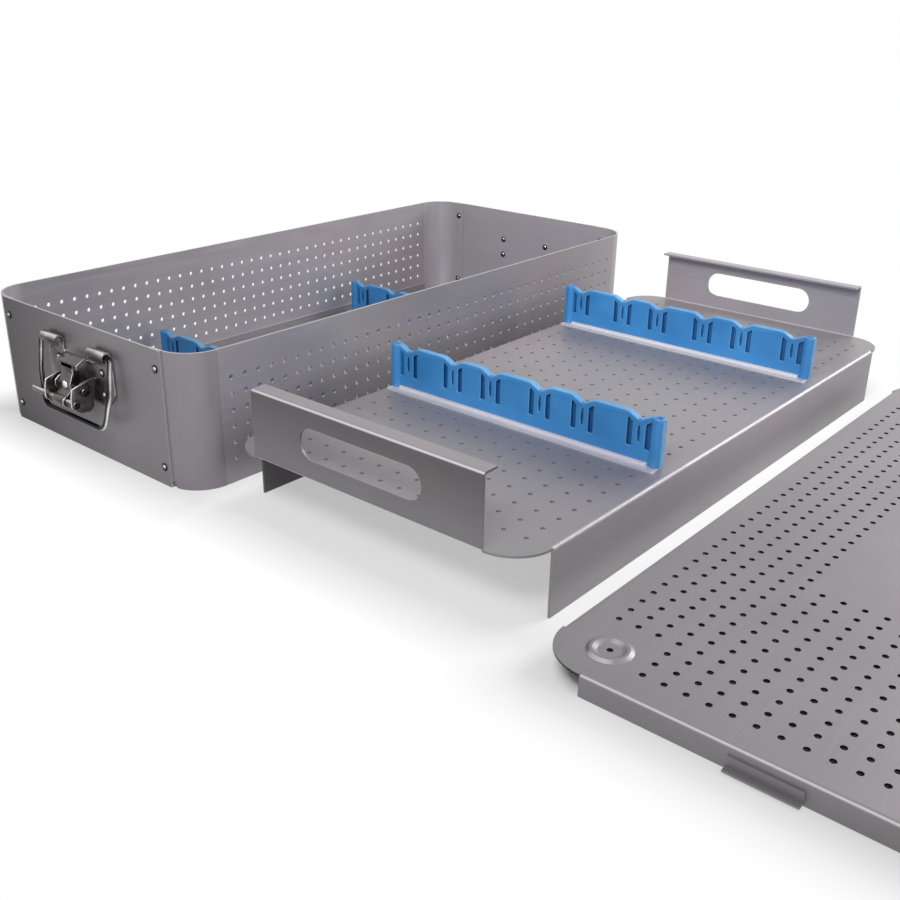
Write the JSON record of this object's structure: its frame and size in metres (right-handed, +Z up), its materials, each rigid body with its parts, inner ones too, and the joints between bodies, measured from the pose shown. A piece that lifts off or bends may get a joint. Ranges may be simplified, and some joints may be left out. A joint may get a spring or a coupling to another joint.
{
  "type": "sterilization container",
  "caption": "Open perforated metal box with hook latches and drop handles on its ends, an inner tray on legs with notched holders, and a perforated cap lid.",
  "frame": {"origin": "centre of the box floor's underside, which rests on the table", "axes": "+X along the box from its near end with the visible latch to its far end, +Y from the tray and lid towards the box, +Z up"},
  "size_m": [0.591, 0.8002, 0.1],
  "materials": {
    "aluminium_sheet": "satin anodised",
    "rail_aluminium": "satin",
    "rivet_aluminium": "satin",
    "latch_steel": "polished",
    "blue_plastic": "smooth semi-matte"
  },
  "bodies": {
    "box": {"box_far_holder": "blue_plastic", "box_far_rail": "rail_aluminium", "box_near_holder": "blue_plastic", "box_near_rail": "rail_aluminium", "far_end_plate": "aluminium_sheet", "far_end_rivets": "rivet_aluminium", "far_latch_base": "latch_steel", "far_latch_pin": "latch_steel", "far_latch_rivets": "rivet_aluminium", "far_left_corner": "aluminium_sheet", "far_right_corner": "aluminium_sheet", "floor_flange_left": "aluminium_sheet", "floor_flange_right": "aluminium_sheet", "floor_plate": "aluminium_sheet", "near_end_plate": "aluminium_sheet", "near_end_rivets": "rivet_aluminium", "near_latch_base": "latch_steel", "near_latch_pin": "latch_steel", "near_latch_rivets": "rivet_aluminium", "near_left_corner": "aluminium_sheet", "near_right_corner": "aluminium_sheet", "side_wall_left": "aluminium_sheet", "side_wall_right": "aluminium_sheet"},
    "near_handle": {"near_bail": "latch_steel"},
    "near_lever": {"near_latch_lever": "latch_steel", "near_finger_rod": "latch_steel"},
    "near_hook": {"near_latch_hook": "latch_steel"},
    "far_handle": {"far_bail": "latch_steel"},
    "far_lever": {"far_latch_lever": "latch_steel", "far_finger_rod": "latch_steel"},
    "far_hook": {"far_latch_hook": "latch_steel"},
    "tray": {"tray_far_holder": "blue_plastic", "tray_far_rail": "rail_aluminium", "tray_floor": "aluminium_sheet", "tray_handle_far": "aluminium_sheet", "tray_handle_near": "aluminium_sheet", "tray_leg_left": "aluminium_sheet", "tray_leg_right": "aluminium_sheet", "tray_near_holder": "blue_plastic", "tray_near_rail": "rail_aluminium"},
    "lid": {"lid_catch_far": "aluminium_sheet", "lid_catch_near": "aluminium_sheet", "lid_flange_far": "aluminium_sheet", "lid_flange_left": "aluminium_sheet", "lid_flange_near": "aluminium_sheet", "lid_flange_right": "aluminium_sheet", "lid_plate": "aluminium_sheet"}
  },
  "joints": [
    {"name": "near_handle_swing", "type": "hinge", "parent": "box", "child": "near_handle", "pos_m": [-0.2768, 0, 0.083], "axis": [0, 1, 0], "range_deg": [-6, 105]},
    {"name": "near_lever_swing", "type": "hinge", "parent": "box", "child": "near_lever", "pos_m": [-0.2835, 0, 0.054], "axis": [0, 1, 0], "range_deg": [0, 90]},
    {"name": "near_hook_turn", "type": "hinge", "parent": "near_lever", "child": "near_hook", "pos_m": [-0.2915, 0, 0.0462], "axis": [0, 1, 0], "range_deg": [-90, 0]},
    {"name": "far_handle_swing", "type": "hinge", "parent": "box", "child": "far_handle", "pos_m": [0.2768, 0, 0.083], "axis": [0, -1, 0], "range_deg": [-6, 105]},
    {"name": "far_lever_swing", "type": "hinge", "parent": "box", "child": "far_lever", "pos_m": [0.2835, 0, 0.054], "axis": [0, -1, 0], "range_deg": [0, 90]},
    {"name": "far_hook_turn", "type": "hinge", "parent": "far_lever", "child": "far_hook", "pos_m": [0.2915, 0, 0.0462], "axis": [0, -1, 0], "range_deg": [-90, 0]},
    {"name": "tray_lift", "type": "slide", "parent": "box", "child": "tray", "axis": [0, 0, 1], "range_m": [0, 0.25]},
    {"name": "lid_lift", "type": "slide", "parent": "box", "child": "lid", "axis": [0, 0, 1], "range_m": [0, 0.25]}
  ],
  "couplings": [
    {"joint": "near_hook_turn", "follows": "near_lever_swing", "ratio": -1},
    {"joint": "far_hook_turn", "follows": "far_lever_swing", "ratio": -1}
  ]
}
